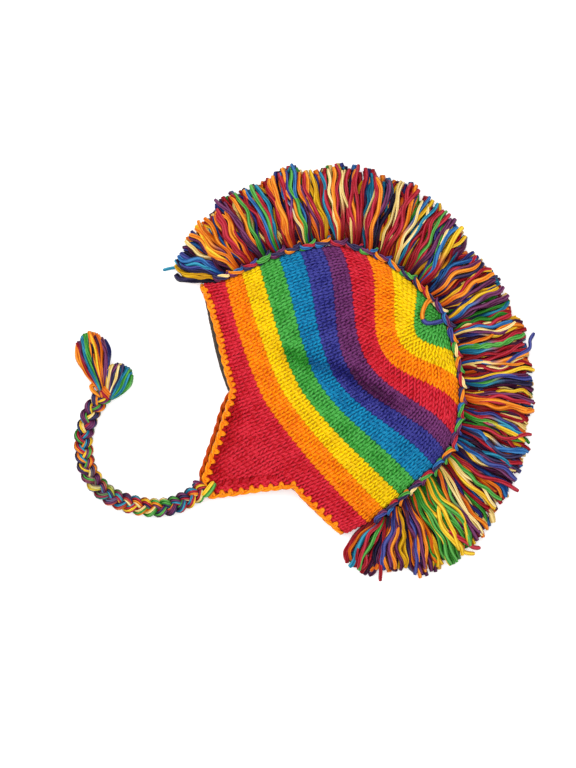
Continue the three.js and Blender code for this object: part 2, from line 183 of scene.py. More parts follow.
# Border
EDGING_CLEAR = 3.4  # from the knitting's edge to the middle of the border
EDGING_CLEAR_BACK = 4.5
EDGING_DEPTH = 2.5  # below the outer face of the knitting
EDGING_LOWEST = 2.9
EDGING_ENDS = (-124.5, 129.5)
EDGING_TIP = np.array([(26, -89.5), (38, -93)])
# painted shade of the border, from the far layer's, which runs low under the near one, to the near one's
EDGING_SHADES = (0.4, 1.0)  # of the far layer's border and the near one's
EDGING_SHADE_HEIGHTS = (4, 9)
EDGING_YARN = 1.5
EDGING_OFF = 0.95  # of each yarn from the middle
EDGING_PITCH = 20
TOOTH_STEPS = (5, 9)  # at the forehead, and on the flaps and at the nape
TOOTH_REACHES = (3.2, 4.2)
TOOTH_SPREADS = (0.9, 1.05)
TOOTH_YARN = 1.4
# A tooth's yarn from the chain into the knitting and back: shares of its spread and reach, rise
TOOTH_LOOP = [(-1.7, 0, 0), (-1.1, 0.5, 2.2), (-0.35, 1, 0), (0.35, 1, 0), (1.1, 0.5, 2.2), (1.7, 0, 0)]

# Fleece band inside the rim: its rings, its depth below the crown's outside, and where it peeps out at
# the front, from and to x and how far
FLEECE_COLOUR = "#4c443c"
FLEECE_NAP = 1.3  # coarser than real pile, so that it shows in the render
FLEECE_ROUGH = 0.12
LINING_LEVELS = [0.08, 0.4, 0.7, 1.1, 1.5, 1.9, 2.3]
LINING_NEAR = 5.9
LINING_FAR = 7.9
LINING_PEEK = (-120, -16, 8.4)

# Mohawk
STRIP_OFF = 4.5  # from the fold to the locks' roots
STRIP_FRONT = 0.65  # the levels where the locks begin and end
STRIP_BACK = 1.4
LOCK_COUNT = 33
LOCK_MARGIN = 0.012
# Strands from the top of a lock down: how many, their height and spread, and the painted shade at
# their roots
LOCK_LAYERS = [(8, 0.8, 0.9, 0.42), (7, 0.0, 1.1, 0.26), (6, -0.8, 1.36, 0.2)]
LOCK_SWING = 2.5  # how much longer or shorter locks are
LOCK_LEAN = 5.5
LOCK_BENDS = (2.4, 4.2)
LOCK_WAVES = (0.85, 1.25)
STRAND_POINTS = 22
STRAND_LENGTHS = (0.91, 1.02)
STRAND_ROUNDING = 0.045  # how much shorter the outermost ones are
STRAND_SWAYS = (0.6, 1.3)
STRAND_HEAVES = (0.4, 1.2)
STRAND_KINKS = (1.8, 3.2)
KINK_SIZES = (0.3, 1.3)
STRAY_SHARE = 0.17
STRAY_FAR = 8.5  # how far these strands wander to the side
STRAY_NEAR = 2  # and the others
STRAND_RADIUS = 2.15
STRAND_WIDTHS = (0.72, 1.08)  # thinnest and thickest, as shares of the radius
CREAM_WIDTH = 0.65
UNDER_WIDTH = 1.3  # of the strands that lie lowest
TWO_TONE = 0.25  # share of the yarns that change colour on their way
DOUBLED = 0.15  # share of the yarns that lie beside one of their own colour
KNOT_YARN = 1.6
KNOT_HALF = 7.6  # half its length along the fold
KNOT_OUT = 1.2
KNOT_HEIGHT = 5.6
KNOT_ROUND = (1.5, 1.1)  # half the width and height of the twist
KNOT_TWIST = 2.2
KNOT_DIVE = 3.0  # how far its ends go into the locks
KNOT_COLOURS = ["plum", "ink", "navy", "red", "plum", "orange", "cobalt", "green", "cream", "ink"]
# Where the locks' tips reach, for shares of the way from the forehead to the nape
FRINGE_TIPS = np.array([
    (0, -160, -9), (0.06, -182, 36), (0.12, -183, 76), (0.2, -176, 121), (0.29, -144, 175),
    (0.39, -88, 213), (0.51, 4, 229), (0.63, 80, 218), (0.74, 145, 176), (0.84, 192, 106),
    (0.94, 200, 44), (1, 163, -11),
])
# A lock from its knot to its cut ends: share, half width, half thickness, height
LOCK_SECTIONS = np.array([
    (0, 5.5, 6.5, 13), (0.18, 6.5, 8, 12.5), (0.55, 10, 10, 10.7), (0.88, 12, 9, 9.5), (1, 9.5, 6, 8.5),
])
# The first lock at the forehead and the last ones at the nape have few colours, side by side
BLUE_LOCK = ["yellow", "ink", "navy", "teal", "cobalt", "navy", "plum", "ink"]
GREEN_LOCK = ["green", "green", "yellow", "green", "green", "yellow", "green", "orange"]
PLUM_LOCK = ["yellow", "plum", "orange", "plum", "navy", "orange", "plum", "ink"]
RED_LOCK = ["plum", "red", "red", "green", "red", "teal", "red", "orange"]
SET_LOCKS = {
    0: BLUE_LOCK, 28: GREEN_LOCK, 29: GREEN_LOCK, 30: PLUM_LOCK, 31: PLUM_LOCK, 32: RED_LOCK,
}

# Ties and tassels
TIE_LIFTS = {"left": 12.9, "right": 4.2}
TIE_ROUTE = np.array([
    (33, -98), (33.2, -105), (33, -114), (31.8, -124), (28.2, -134.5), (22.5, -144.3), (15.5, -153),
    (8, -160.7), (-1.5, -168), (-12, -173), (-25, -175.3), (-38.5, -174.5), (-51, -169.5),
    (-62, -163.7), (-70, -155.5), (-77.5, -147), (-82, -137.8), (-85.5, -128.5),
])
TIE_START = (32, -91)  # where the plait comes out of the flap's tip
PLAIT_PERIOD = 27
PLAIT_SWING = 4.9
PLAIT_RISE = 1.7
PLAIT_YARN = 1.25
PLAIT_YARNS = 7  # in each of the three bundles
PLAIT_FLAT = (2.7, 1.1)  # half the width and height of a bundle
PLAIT_TWIST = 61
# painted shade of the plait's yarns: darker where a yarn lies low
PLAIT_HEIGHTS = (-1.5, 2.4)
PLAIT_SHADES = (0.45, 1.05)  # at these heights
PLAIT_COLOURS = [
    "red", "plum", "orange", "cream", "green", "plum", "red", "ink", "yellow", "plum", "teal", "ink",
    "green",
]
# A tassel's two bunches: root, tip, half widths for shares of the way to the tip, and yarns across
TASSEL_BUNCHES = [
    ((-85, -129.5), (-142, -113), (3, 6.5, 11.5, 15, 13), [
        "orange", "red", "plum", "teal", "teal", "green", "green", "ink", "orange", "yellow",
        "orange", "plum", "orange", "plum", "plum", "navy",
    ]),
    ((-80, -126), (-100, -99.5), (3, 8, 11.5, 12.5, 11), [
        "yellow", "cream", "plum", "ink", "cream", "ink", "teal", "teal", "green", "teal", "green",
    ]),
]
TASSEL_YARN = 1.75
TASSEL_THICK = 2.3
TASSEL_LAYERS = (1, -0.1, -1)
TASSEL_LENGTHS = (0.93, 1.0)
TASSEL_ROUNDING = 0.16
TASSEL_WAVE = 1.5
TASSEL_WAVES = (0.8, 1.6)
# each tassel yarn darkened at random: painted shade between the yarns, and varied tone
TASSEL_SHADES = (0.6, 0.94)
WRAP_COLOURS = ["red", "orange", "orange"]
WRAP_HALF = (5.6, 2.6)  # half its width and height
WRAP_STEP = 2.0
WRAP_CLIMB = 0.8
WRAP_END = np.array([(0, -4, 1), (-8, -7, 1.5), (-13, -6, 0), (-10, -2, -1)])

# Loose yarns: colour, width as a share of the radius, step along the route, and route. They are the bight
# that starts the near tie, ends at the forehead, the back and the top, and the far tie's stub.
LOOSE_YARN = 1.5
LOOSE_ROUTES = [
    ("yellow", 1.3, 1.5, [(31.5, -83, 14.5), (33, -87, 17.2), (35, -92, 17.8), (36.5, -97, 15.5)]),
    ("green", 1.3, 1.5, [(33.5, -82.5, 14.5), (36, -86.5, 17), (38, -91.5, 17.4), (38.5, -96.5, 15)]),
    ("teal", 1, 2.0, [(-140, -2, 12), (-148, -9, 8), (-153, -18, 3), (-156, -27, 2)]),
    ("red", 1.4, 2.0, [(170, 74, 13), (182, 80.5, 17), (192, 86, 14), (199, 89, 10), (203, 94, 6)]),
    ("yellow", 1.4, 2.0, [(137, 88, 13), (165, 74.5, 19), (184, 76, 17), (198, 79.5, 11), (205, 87, 6)]),
    ("navy", 1.2, 2.0, [(72, 190, 14), (70, 205, 18), (70.5, 221, 14), (64, 226.5, 9), (60.5, 233, 5)]),
    ("plum", 1.2, 1.5, [(31, -90, 11), (27.5, -93, 12.5), (24.5, -96, 12), (22.5, -98.5, 9.5)]),
    ("ink", 1.2, 1.5, [(33, -92, 11), (29.5, -95, 12.5), (26.5, -98, 12), (24.5, -100.5, 9.5)]),
]
# A loop that lies on the crown below the top knot: colour and points of its halves
TOP_LOOP = [
    ("orange", [(-11.6, 170), (-11.5, 163), (-8.5, 157.5), (-4.6, 153.5), (-0.5, 151.5)]),
    ("navy", [(-0.5, 151.5), (4, 153), (7, 158.5), (9, 164.5), (10, 170)]),
]
TOP_LOOP_WIDTH = 1.45
TOP_LOOP_LIFT = 1.6
TOP_LOOP_STEP = 1.5

# View
CAMERA_HEIGHT = 3000
VIEW_HEIGHT = 691.2
VIEW_CENTRE = (-10.9, 18.8)
IMAGE_RIGHT = Vector((0.502, 0.865, 0))

# Floor and light, in metres and watts
FLOOR_HALF = 40
FLOOR_COLOUR = "#f8f8f8"
# painted light: the paper glows, which pales the shadows cast on it
FLOOR_GLOW = 0.3
SKY_LIGHT = 0.8
WINDOW_SIZE = 1.3
WINDOW_POWER = 18.5
WINDOW_PLACE = (-0.3, 0.0, 1.6)
WHITE = (1, 1, 1, 1)


def linear(colour):
    """A hex colour as the linear values that shaders take."""
    parts = [int(colour[at:at + 2], 16) / 255 for at in (1, 3, 5)]
    curved = [part / 12.92 if part <= 0.04045 else ((part + 0.055) / 1.055) ** 2.4 for part in parts]
    return (*curved, 1)


def add_node(tree, kind, links=(), **settings):
    """A node with its settings, and its inputs as values or as links from other nodes' outputs."""
    node = tree.nodes.new(kind)
    for name, value in settings.items():
        setattr(node, name, value)
    set_inputs(tree, node, dict(links))
    return node


def set_inputs(tree, node, links):
    """Gives a node's inputs values, or links from other nodes' outputs."""
    for name, value in links.items():
        if isinstance(value, bpy.types.NodeSocket):
            tree.links.new(value, node.inputs[name])
        else:
            node.inputs[name].default_value = value


def put_in_scene(name, data):
    """A new object in the scene."""
    thing = bpy.data.objects.new(name, data)
    scene.collection.objects.link(thing)
    return thing


def add_camera():
    """A camera straight above the hat, turned as the photo is."""
    data = bpy.data.cameras.new("camera")
    data.lens = data.sensor_width * CAMERA_HEIGHT / VIEW_HEIGHT
    camera = put_in_scene("camera", data)
    right = IMAGE_RIGHT.normalized()
    back = Vector((0, 0, 1))
    turn = Matrix((right, back.cross(right), back)).transposed().to_4x4()
    place = Vector((*VIEW_CENTRE, CAMERA_HEIGHT)) * MM
    camera.matrix_world = Matrix.Translation(place) @ turn
    scene.camera = camera


add_camera()


# Materials

def cloth_shader(name, roughness, specular, sheen):
    """A material whose shader has the values that are the same all over it."""
    material = bpy.data.materials.new(name)
    material.use_nodes = True
    tree = material.node_tree
    shader = tree.nodes["Principled BSDF"]
    set_inputs(tree, shader, {
        "Roughness": roughness, "Specular IOR Level": specular,
        "Sheen Weight": sheen, "Sheen Roughness": 0.5,
    })
    return material, tree, shader


def wool(
    name, colour=None, plies=KNIT_PLIES, ply_pitch=KNIT_PLY_PITCH, grooves=KNIT_GROOVES,
    crevices=KNIT_CREVICES,
):
    """Spun wool, with painted shade from each point's own, in the grooves between the plies and where a
    yarn dives under its neighbours; mottled dye, and a slight gloss on the ridges. Painted shade makes a
    colour deeper more than greyer. Without a colour each yarn has its own."""
    material, tree, shader = cloth_shader(name, roughness=0.4, specular=0.1, sheen=0.02)
    along = add_node(tree, "ShaderNodeAttribute", attribute_name="yarn_along").outputs["Fac"]
    turn = add_node(tree, "ShaderNodeAttribute", attribute_name="yarn_turn").outputs["Vector"]
    shade = add_node(tree, "ShaderNodeAttribute", attribute_name="yarn_painted_shade").outputs["Fac"]
    parts = add_node(tree, "ShaderNodeSeparateXYZ", {"Vector": turn}).outputs
    angle = add_node(tree, "ShaderNodeMath", {0: parts["Y"], 1: parts["X"]}, operation="ARCTAN2")
    radians = TURN / (ply_pitch * MM)
    twist = add_node(tree, "ShaderNodeMath", {0: along, 1: radians}, operation="MULTIPLY")
    phase = add_node(tree, "ShaderNodeMath", {
        0: angle.outputs[0], 1: plies, 2: twist.outputs[0],
    }, operation="MULTIPLY_ADD").outputs[0]
    wave = add_node(tree, "ShaderNodeMath", {0: phase}, operation="SINE").outputs[0]
    place = add_node(tree, "ShaderNodeTexCoord").outputs["Object"]
    fibre, dye = [
        add_node(tree, "ShaderNodeTexNoise", {
            "Vector": place, "Scale": 1 / (size * MM), "Detail": 3.0,
        }).outputs["Fac"]
        for size in (FIBRE, DYE_PATCH)
    ]
    open_sky = add_node(tree, "ShaderNodeAmbientOcclusion", {"Distance": CREVICE * MM}, samples=4)
    # painted shade in the ply grooves and in the crevices between yarns, found by ambient occlusion, with
    # the dye's mottle
    for value, low, high, darkest, lightest in (
        (wave, -1.0, 0.1, *grooves),
        (dye, 0.3, 0.7, *MOTTLE),
        (fibre, 0.3, 0.7, *MOTTLE),
        (open_sky.outputs["AO"], 0.1, 0.8, *crevices),
    ):
        factor = add_node(tree, "ShaderNodeMapRange", {
            "Value": value, "From Min": low, "From Max": high, "To Min": darkest, "To Max": lightest,
        }, interpolation_type="SMOOTHSTEP").outputs[0]
        shade = add_node(tree, "ShaderNodeMath", {0: shade, 1: factor}, operation="MULTIPLY").outputs[0]
    # painted shade deepens the colour more than it greys it
    deepening = add_node(tree, "ShaderNodeMapRange", {
        "Value": shade, "From Min": 0.3, "From Max": 1.05, "To Min": 1.6, "To Max": 0.85,
    }, interpolation_type="SMOOTHSTEP").outputs[0]
    if colour:
        dyed = linear(colour)
    else:
        dyed = add_node(tree, "ShaderNodeAttribute", attribute_name="yarn_color").outputs["Color"]
    deeper = add_node(tree, "ShaderNodeGamma", {"Color": dyed, "Gamma": deepening}).outputs[0]
    light = add_node(tree, "ShaderNodeMath", {0: shade, 1: 0.6}, operation="POWER").outputs[0]
    tint = add_node(tree, "ShaderNodeVectorMath", {0: deeper, "Scale": light}, operation="SCALE")
    fuzz = add_node(tree, "ShaderNodeMath", {0: fibre, 1: 0.6, 2: wave}, operation="MULTIPLY_ADD")
    bump = add_node(tree, "ShaderNodeBump", {
        "Height": fuzz.outputs[0], "Distance": 0.4 * MM, "Strength": 1.0,
    })
    set_inputs(tree, shader, {"Base Color": tint.outputs["Vector"], "Normal": bump.outputs["Normal"]})
    return material


def fleece(name, colour):
    """Short matt pile: a fine nap that breaks up the light."""
    material, tree, shader = cloth_shader(name, roughness=1.0, specular=0.1, sheen=0.4)
    place = add_node(tree, "ShaderNodeTexCoord").outputs["Object"]
    nap = add_node(tree, "ShaderNodeTexNoise", {
        "Vector": place, "Scale": 1 / (FLEECE_NAP * MM), "Detail": 4.0,
    }).outputs["Fac"]
    light = add_node(tree, "ShaderNodeMapRange", {
        "Value": nap, "From Min": 0.3, "From Max": 0.7, "To Min": 0.6, "To Max": 1.2,
    }, interpolation_type="SMOOTHSTEP").outputs[0]
    dye = linear(colour)[:3]
    tint = add_node(tree, "ShaderNodeVectorMath", {0: dye, "Scale": light}, operation="SCALE")
    bump = add_node(tree, "ShaderNodeBump", {"Height": nap, "Distance": 0.8 * MM, "Strength": 1.0})
    set_inputs(tree, shader, {"Base Color": tint.outputs["Vector"], "Normal": bump.outputs["Normal"]})
    return material


# Yarn

def yarn_tree():
    """Geometry nodes that sweep a round yarn along the edges of a mesh and mark its length and turn."""
    tree = bpy.data.node_groups.new("yarn sweep", "GeometryNodeTree")
    for name, kind in (
        ("Paths", "NodeSocketGeometry"), ("Yarn radius", "NodeSocketFloat"),
        ("Sides", "NodeSocketInt"), ("Wool", "NodeSocketMaterial"),
    ):
        tree.interface.new_socket(name, in_out="INPUT", socket_type=kind)
    tree.interface.new_socket("Yarns", in_out="OUTPUT", socket_type="NodeSocketGeometry")
    given = tree.nodes.new("NodeGroupInput").outputs
    paths = add_node(tree, "GeometryNodeMeshToCurve", {"Mesh": given["Paths"]}).outputs[0]
    length = add_node(tree, "GeometryNodeSplineParameter").outputs["Length"]
    measured = add_node(tree, "GeometryNodeStoreNamedAttribute", {
        "Geometry": paths, "Name": "yarn_along", "Value": length,
    }).outputs[0]
    circle = add_node(tree, "GeometryNodeCurvePrimitiveCircle", {
        "Resolution": given["Sides"], "Radius": given["Yarn radius"],
    }).outputs["Curve"]
    place = add_node(tree, "GeometryNodeInputPosition").outputs[0]
    section = add_node(tree, "GeometryNodeStoreNamedAttribute", {
        "Geometry": circle, "Name": "yarn_turn", "Value": place,
    }, data_type="FLOAT_VECTOR")
    thickness = add_node(tree, "GeometryNodeInputNamedAttribute", {
        "Name": "yarn_thickness",
    }).outputs["Attribute"]
    swept = add_node(tree, "GeometryNodeCurveToMesh", {
        "Curve": measured, "Profile Curve": section.outputs[0], "Scale": thickness, "Fill Caps": True,
    }).outputs[0]
    smooth = add_node(tree, "GeometryNodeSetShadeSmooth", {"Geometry": swept}).outputs[0]
    real = add_node(tree, "GeometryNodeRealizeInstances", {"Geometry": smooth}).outputs[0]
    dyed = add_node(tree, "GeometryNodeSetMaterial", {"Geometry": real, "Material": given["Wool"]})
    add_node(tree, "NodeGroupOutput", {"Yarns": dyed.outputs[0]})
    return tree


YARN_TREE = yarn_tree()
YARN_INPUTS = {
    socket.name: socket.identifier for socket in YARN_TREE.interface.items_tree if socket.in_out == "INPUT"
}


def hand_over(piece, replaces):
    """Puts a piece on the hat's body and the node that it stands for."""
    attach(piece, BODY)
    if replaces:
        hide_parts(replaces)
    return piece


def set_values(mesh, name, values):
    """Gives each point of a mesh a number, or four for its colour."""
    kind, field = ("FLOAT", "value") if np.ndim(values) == 1 else ("FLOAT_COLOR", "color")
    mesh.attributes.new(name, kind, "POINT").data.foreach_set(field, np.ravel(values))


def yarn_dye(colour, count):
    """The colour at each point of a yarn: one all along, or a pair of which the second takes over."""
    first, second = (colour, colour) if isinstance(colour, str) else colour
    share = ease_both(np.clip(np.linspace(-1, 2, count), 0, 1))[:, None]
    return np.array(linear(first)) * (1 - share) + np.array(linear(second)) * share


def yarn_piece(
    name, runs, radius, material,
    closed=False, colours=None, shades=None, widths=None, end=0.75, replaces=None,
):
    """One mesh of yarns swept along runs of points. Yarns may have colours, painted shades for their
    points, and widths as shares of the radius. An open yarn's ends are drawn in to a share of its width."""
    first = np.cumsum([0] + [len(run) for run in runs])
    edges = []
    thickness = np.ones(first[-1]) if widths is None else np.repeat(widths, np.diff(first))
    for start, stop in zip(first[:-1], first[1:]):
        index = np.arange(start, stop)
        pairs = np.stack([index, np.roll(index, -1)], 1)
        edges.append(pairs if closed else pairs[:-1])
        if not closed:
            thickness[[start, stop - 1]] *= end
    mesh = bpy.data.meshes.new(name)
    mesh.from_pydata((np.concatenate(runs) * MM).tolist(), np.concatenate(edges).tolist(), [])
    set_values(mesh, "yarn_thickness", thickness)
    # painted shade at each point, none where no shades are given
    depth = np.ones(first[-1]) if shades is None else np.concatenate(shades)
    set_values(mesh, "yarn_painted_shade", depth)
    if colours is not None:
        dyes = [yarn_dye(colour, len(run)) for colour, run in zip(colours, runs)]
        set_values(mesh, "yarn_color", np.concatenate(dyes))
    source = put_in_scene(name + " path", mesh)
    sweep = source.modifiers.new("yarn", "NODES")
    sweep.node_group = YARN_TREE
    sweep[YARN_INPUTS["Yarn radius"]] = radius * MM
    sweep[YARN_INPUTS["Sides"]] = YARN_SIDES
    sweep[YARN_INPUTS["Wool"]] = material
    shaped = source.evaluated_get(bpy.context.evaluated_depsgraph_get())
    piece = put_in_scene(name, bpy.data.meshes.new_from_object(shaped))
    bpy.data.objects.remove(source)
    piece.data.name = name
    return hand_over(piece, replaces)


def skin_piece(name, rings, material, closed=False, colours=None, shade=1.0, replaces=None):
    """A closed skin over rings of points. It is capped at both ends, or its last ring joins its first."""
    rows, count, _ = rings.shape
    index = np.arange(rows * count).reshape(rows, count)
    upper = index if closed else index[:-1]
    lower = np.roll(index, -1, 0) if closed else index[1:]
    quads = np.stack([upper, np.roll(upper, -1, 1), np.roll(lower, -1, 1), lower], -1).reshape(-1, 4)
    faces = quads.tolist()
    if not closed:
        faces += [index[0][::-1].tolist(), index[-1].tolist()]
    mesh = bpy.data.meshes.new(name)
    mesh.from_pydata((rings.reshape(-1, 3) * MM).tolist(), [], faces)
    mesh.polygons.foreach_set("use_smooth", np.ones(len(faces), bool))
    mesh.materials.append(material)
    # painted shade, the same all over the skin
    set_values(mesh, "yarn_painted_shade", np.full(rows * count, shade))
    if colours is not None:
        set_values(mesh, "yarn_color", colours)
    if mesh_volume(mesh) < 0:
        mesh.flip_normals()
    return hand_over(put_in_scene(name, mesh), replaces)


def mesh_volume(mesh):
    """Six times the volume inside a mesh, less than nothing where it is inside out."""
    mesh.calc_loop_triangles()
    corners = np.empty(len(mesh.loop_triangles) * 3, int)
    mesh.loop_triangles.foreach_get("vertices", corners)
    points = np.empty(len(mesh.vertices) * 3)
    mesh.vertices.foreach_get("co", points)
    first, second, third = points.reshape(-1, 3)[corners.reshape(-1, 3)].transpose(1, 0, 2)
    return np.sum(first * np.cross(second, third))


# Curves

def unit(vectors):
    """Vectors made one long."""
    return vectors / np.linalg.norm(vectors, axis=-1, keepdims=True)


def catmull(values, place):
    """A smooth run through the rows of a table, at fractional row numbers."""
    last = len(values) - 1
    at = np.clip(place, 0, last)
    base = np.minimum(at.astype(int), last - 1)
    part = (at - base)[..., None]
    before = values[np.maximum(base - 1, 0)]
    start = values[base]
    end = values[base + 1]
    after = values[np.minimum(base + 2, last)]
    lead = (end - before) / 2
    trail = (after - start) / 2
    cubic = (2 * start - 2 * end + lead + trail) * part ** 3
    square = (3 * end - 3 * start - 2 * lead - trail) * part ** 2
    return cubic + square + lead * part + start


def lengths_along(points):
    """How far along a run each of its points is."""
    return np.concatenate([[0], np.cumsum(np.linalg.norm(np.diff(points, axis=0), axis=1))])


def resample(points, count):
    """A run with evenly spaced points."""
    far = lengths_along(points)
    at = np.linspace(0, far[-1], count)
    return np.stack([np.interp(at, far, column) for column in points.T], 1)


def smooth_run(points, step, closed=False):
    """A smooth run through points, with evenly spaced points about a step apart."""
    points = np.asarray(points, float)
    first = 0
    last = len(points) - 1
    if closed:
        points = np.concatenate([points[-2:], points, points[:3]])
        first, last = 2, len(points) - 3
    dense = catmull(points, np.linspace(first, last, 24 * len(points)))
    count = max(3, round(lengths_along(dense)[-1] / step) + 1)
    even = resample(dense, count)
    return even[:-1] if closed else even


def level_frame(path):
    """Directions along a run, and to its right level with the floor."""
    along = unit(np.gradient(path, axis=0))
    return along, unit(np.cross(along, UP))


def ease_both(share):
    """A share that starts and ends gently."""
    return (1 - np.cos(np.pi * share)) / 2


# The crown's surface

def crown_outside(level, turn):
    """The crown's outside at levels and turns: 0 is the front fold, then comes the upper layer, and 0.5 is
    the back fold."""
    row = catmull(CROWN_ROWS, np.clip(level, 0, LAST_ROW))
    front_x, front_y, low_x, low_y, back_x, back_y, front_ease, back_ease, height = np.moveaxis(row, -1, 0)
    across = -np.cos(TURN * turn)
    bulge = np.sin(TURN * turn)
    x = front_x + (back_x - front_x) * (1 + across) / 2
    ahead = x < low_x
    fold_x = np.where(ahead, front_x, back_x)
    fold_y = np.where(ahead, front_y, back_y)
    ease = np.where(ahead, front_ease, back_ease)
    reach = np.clip((x - low_x) / (fold_x - low_x), 0, 1)
    y = low_y + (fold_y - low_y) * (reach ** CURVE_POWER * (1 - ease) + ease_both(reach) * ease)
    corner = np.clip((np.abs(across) - FLAT_SHARE) / (1 - FLAT_SHARE), 0, 1)
    under = FOLD_HEIGHT * (1 - np.sqrt(1 - corner ** 2))
    upper = FOLD_HEIGHT + (height - FOLD_HEIGHT) * bulge
    return np.stack([x, y, np.where(bulge >= 0, upper, under)], -1)


CREASE_LINE = smooth_run(CREASE, 2.0)


def crease_share(x, y):
    """How near to the middle of the crease points are: 1 there, and 0 well away from it."""
    away = np.min([(x - line_x) ** 2 + (y - line_y) ** 2 for line_x, line_y in CREASE_LINE], axis=0)
    return np.exp(-away / CREASE_WIDTH ** 2)


def settle(grid):
    """Lets the upper layer sag a little along its crease and between its stiffer patches."""
    x, y, z = np.moveaxis(grid, -1, 0)
    ripple = 0.5 * np.sin(x / 19 + 1) * np.sin(y / 15 + 2) + 0.4 * np.sin(x / 11 + y / 13)
    free = np.clip((z - STIFF_HEIGHT) / (FREE_HEIGHT - STIFF_HEIGHT), 0, 1)
    grid[..., 2] = z - free * (CREASE_DEPTH * crease_share(x, y) + ripple + SAG)
    return grid


def crown_grid():
    """The crown's outside and its outward directions on an even grid of levels and shares of each layer."""
    turns = np.linspace(0, 1, 961)
    middle = len(turns) // 2
    step = 0.2
    rim = crown_outside(np.zeros_like(turns), turns)
    above = crown_outside(np.full_like(turns, step), turns)
    rows = []
    for level in GRID_LEVELS:
        if level < 0:
            ring = rim + (above - rim) * level / step
        else:
            ring = crown_outside(np.full_like(turns, level), turns)
            ring = ring + (CROWN_TOP - ring) * max(0, level - LAST_ROW)
        upper = resample(ring[:middle + 1], LAYER_STEPS + 1)[:-1]
        under = resample(ring[middle:], LAYER_STEPS + 1)[:-1]
        rows.append(np.concatenate([upper, under]))
    grid = settle(np.stack(rows))
    around = np.concatenate([grid[:, -1:], grid, grid[:, :1]], 1)
    onward = np.gradient(around, axis=1)[:, 1:-1]
    upward = np.gradient(grid, axis=0)
    outward = np.cross(onward, upward)
    outward[-6:] = outward[-7]  # the last rings are too small to tell
    return grid, unit(outward)


CROWN_GRID, CROWN_OUT = crown_grid()


def on_crown(level, share, lift):
    """Points at levels and shares round the crown, lifted out of its surface."""
    level, share, lift = np.broadcast_arrays(np.asarray(level, float), share, lift)
    columns = CROWN_GRID.shape[1]
    down = (level - GRID_LEVELS[0]) / (GRID_LEVELS[1] - GRID_LEVELS[0])
    down = np.clip(down, 0, len(GRID_LEVELS) - 1.001)
    over = np.mod(share, 1) * columns
    row = down.astype(int)
    column = over.astype(int) % columns
    beside = (column + 1) % columns
    row_part = (down - row)[..., None]
    column_part = (over - np.floor(over))[..., None]

    def blend(table):
        low = table[row, column] * (1 - column_part) + table[row, beside] * column_part
        high = table[row + 1, column] * (1 - column_part) + table[row + 1, beside] * column_part
        return low * (1 - row_part) + high * row_part

    return blend(CROWN_GRID) + unit(blend(CROWN_OUT)) * lift[..., None]


RIM_SHARES = np.linspace(0, 0.5, 400)
RIM = on_crown(0, RIM_SHARES, 0)


def rim_share(x):
    return np.interp(x, RIM[:, 0], RIM_SHARES)


def rim_y(x):
    return np.interp(x, RIM[:, 0], RIM[:, 1])


def rim_z(x):
    return np.interp(x, RIM[:, 0], RIM[:, 2])


# Wools
wools = {name: wool(name + " wool", colour) for name, colour in WOOL.items()}
mixed_wool = wool(
    "mixed wool", plies=LOOSE_PLIES, ply_pitch=LOOSE_PLY_PITCH, grooves=LOOSE_GROOVES,
    crevices=LOOSE_CREVICES,
)

DECK = [name for name, (_, share) in MIXED.items() for _ in range(round(DECK_SIZE * share))]
dealt = []


def pick_colours(count, names=None):
    """Colours of some of the mixed yarns, or of all of them in their shares, dealt like shuffled cards."""
    cards = [] if names else dealt
    while len(cards) < count:
        cards.extend(rng.permutation(names or DECK))
    return [MIXED[cards.pop()][0] for _ in range(count)]


# Ties: three bundles of yarns plaited flat, each tie ending in a wrapped tassel

def plait_runs(path):
    """The yarns of a plait along a path, and their painted shades, darker where they lie low."""
    far = lengths_along(path)
    _, side = level_frame(path)
    runs = []
    shades = []
    for bundle in range(3):
        phase = TURN * (far / PLAIT_PERIOD + bundle / 3)
        turn = TURN * far / PLAIT_TWIST + bundle
        for yarn in range(PLAIT_YARNS):
            angle = turn + TURN * yarn / PLAIT_YARNS
            run = path + side * (PLAIT_SWING * np.sin(phase) + PLAIT_FLAT[0] * np.cos(angle))[:, None]
            high = PLAIT_RISE * np.sin(2 * phase) + PLAIT_FLAT[1] * np.sin(angle)
            run[:, 2] += high
            runs.append(run)
            shades.append(np.interp(high, PLAIT_HEIGHTS, PLAIT_SHADES))
    return runs, shades


def bunch_runs(root, tip, widths, count, lift):
    """Layers of strands side by side that flow from a root to a rounded end."""
    root = np.array([*root, lift])
    reach = np.array([*tip, lift]) - root
    side = unit(np.cross(reach, UP))
    way = np.linspace(0, 1, STRAND_POINTS)
    width = catmull(np.array(widths, float)[:, None], way * (len(widths) - 1))[:, 0]
    thick = TASSEL_THICK * np.interp(way, (0, 0.3, 0.9, 1), (0.6, 1, 1, 0.5))
    runs = []
    for layer in TASSEL_LAYERS:
        for across in np.linspace(-1, 1, count):
            phase = TURN * (way * rng.uniform(*TASSEL_WAVES) + rng.uniform())
            wave = TASSEL_WAVE * way * np.sin(phase)
            length = (1 - TASSEL_ROUNDING * across ** 2) * rng.uniform(*TASSEL_LENGTHS)
            run = root + np.outer(way * length, reach)
            run += np.outer((across + rng.normal(0, 0.05)) * (width - TASSEL_YARN) + wave, side)
            run[:, 2] += layer * thick * np.sqrt(1.05 - across ** 2)
            runs.append(run)
    return runs


